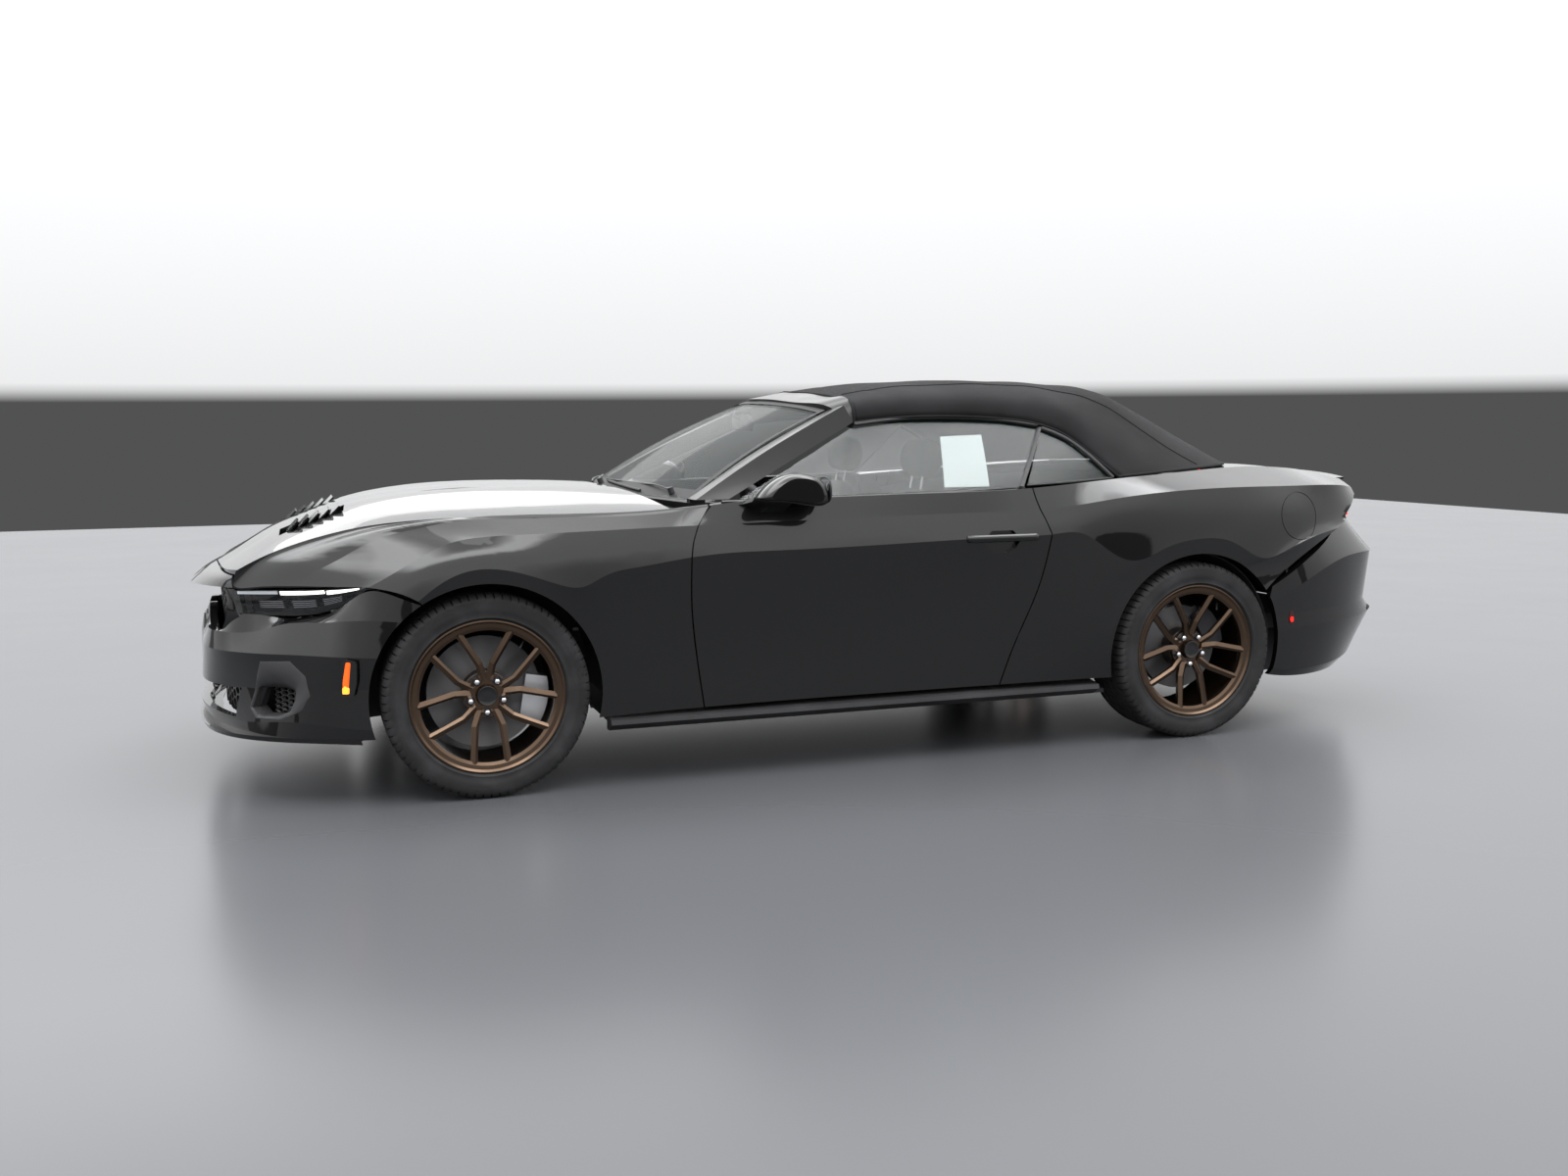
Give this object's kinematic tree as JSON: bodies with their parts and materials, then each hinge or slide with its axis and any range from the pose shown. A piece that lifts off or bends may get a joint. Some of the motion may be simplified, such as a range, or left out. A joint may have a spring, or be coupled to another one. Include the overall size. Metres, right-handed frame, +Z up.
{
  "type": "two-door convertible muscle car",
  "caption": "Two-door muscle car with a raised fabric soft top, opening doors, hood and boot lid, steering front wheels and freely turning wheels.",
  "frame": {"origin": "on the ground under the middle of the body's length and width", "axes": "+X to the nose, +Y to the driver's left, +Z up"},
  "size_m": [4.819, 2.064, 1.4082],
  "materials": {
    "body_paint": "gloss",
    "gloss_black": "gloss",
    "black_plastic": "matt",
    "window_glass": "clear",
    "top_fabric": "woven",
    "lamp_lens": "clear over dark",
    "tail_lens": "gloss",
    "seat_leather": "stitched",
    "cabin_plastic": "grained",
    "underbody": "satin",
    "chassis_steel": "bare",
    "engine_metal": "cast",
    "knuckle_metal": "machined",
    "rim_bronze": "satin",
    "tyre": "moulded",
    "disc_iron": "turned"
  },
  "bodies": {
    "body": {"floor_pan": "underbody", "engine_block": "engine_metal", "front_fascia": "body_paint", "grille": "black_plastic", "front_splitter": "gloss_black", "front_fenders": "body_paint", "front_lamps": "lamp_lens", "windscreen_frame": "gloss_black", "glazing": "window_glass", "soft_top": "top_fabric", "rear_quarters": "body_paint", "rear_deck": "body_paint", "side_skirts": "black_plastic", "rear_fascia": "body_paint", "rear_diffuser": "black_plastic", "exhaust": "chassis_steel", "tail_lamps": "tail_lens", "front_seats": "seat_leather", "rear_seat": "seat_leather", "dashboard": "cabin_plastic", "wipers": "black_plastic", "suspension": "chassis_steel"},
    "steering_wheel": {"steering_wheel": "cabin_plastic"},
    "hood": {"hood": "body_paint"},
    "trunk_lid": {"trunk_lid": "body_paint"},
    "door_left": {"door_left": "body_paint", "door_glass_left": "window_glass", "mirror_left": "body_paint"},
    "knuckle_left": {"knuckle_left": "knuckle_metal"},
    "wheel_front_left": {"rim_front_left": "rim_bronze", "tyre_front_left": "tyre", "disc_front_left": "disc_iron"},
    "wheel_rear_left": {"rim_rear_left": "rim_bronze", "tyre_rear_left": "tyre", "disc_rear_left": "disc_iron"},
    "door_right": {"door_right": "body_paint", "door_glass_right": "window_glass", "mirror_right": "body_paint"},
    "knuckle_right": {"knuckle_right": "knuckle_metal"},
    "wheel_front_right": {"rim_front_right": "rim_bronze", "tyre_front_right": "tyre", "disc_front_right": "disc_iron"},
    "wheel_rear_right": {"rim_rear_right": "rim_bronze", "tyre_rear_right": "tyre", "disc_rear_right": "disc_iron"}
  },
  "joints": [
    {"name": "hood_hinge", "type": "hinge", "parent": "body", "child": "hood", "pos_m": [0.84, 0, 0.952], "axis": [0, -1, 0], "range_deg": [0, 58]},
    {"name": "trunk_hinge", "type": "hinge", "parent": "body", "child": "trunk_lid", "pos_m": [-1.72, 0, 1.015], "axis": [0, 1, 0], "range_deg": [0, 75]},
    {"name": "door_left_hinge", "type": "hinge", "parent": "body", "child": "door_left", "pos_m": [0.7, 0.89, 0.6], "axis": [0, 0, -1], "range_deg": [0, 65]},
    {"name": "door_right_hinge", "type": "hinge", "parent": "body", "child": "door_right", "pos_m": [0.7, -0.89, 0.6], "axis": [0, 0, 1], "range_deg": [0, 65]},
    {"name": "steer_left", "type": "hinge", "parent": "body", "child": "knuckle_left", "pos_m": [1.4805, 0.7, 0.3433], "axis": [0, 0, 1], "range_deg": [-35, 35]},
    {"name": "steer_right", "type": "hinge", "parent": "body", "child": "knuckle_right", "pos_m": [1.4805, -0.7, 0.3433], "axis": [0, 0, 1], "range_deg": [-35, 35]},
    {"name": "steering_wheel_turn", "type": "hinge", "parent": "body", "child": "steering_wheel", "pos_m": [0.33, 0.37, 0.83], "axis": [-0.9062, 0, 0.4229], "range_deg": [-520, 520]},
    {"name": "spin_front_left", "type": "hinge", "parent": "knuckle_left", "child": "wheel_front_left", "pos_m": [1.4805, 0.78, 0.3433], "axis": [0, 1, 0], "continuous": true},
    {"name": "spin_rear_left", "type": "hinge", "parent": "body", "child": "wheel_rear_left", "pos_m": [-1.2395, 0.8, 0.3433], "axis": [0, 1, 0], "continuous": true},
    {"name": "spin_front_right", "type": "hinge", "parent": "knuckle_right", "child": "wheel_front_right", "pos_m": [1.4805, -0.78, 0.3433], "axis": [0, 1, 0], "continuous": true},
    {"name": "spin_rear_right", "type": "hinge", "parent": "body", "child": "wheel_rear_right", "pos_m": [-1.2395, -0.8, 0.3433], "axis": [0, 1, 0], "continuous": true}
  ],
  "couplings": [
    {"joint": "steer_right", "follows": "steer_left", "ratio": 1},
    {"joint": "steering_wheel_turn", "follows": "steer_left", "ratio": 14}
  ]
}
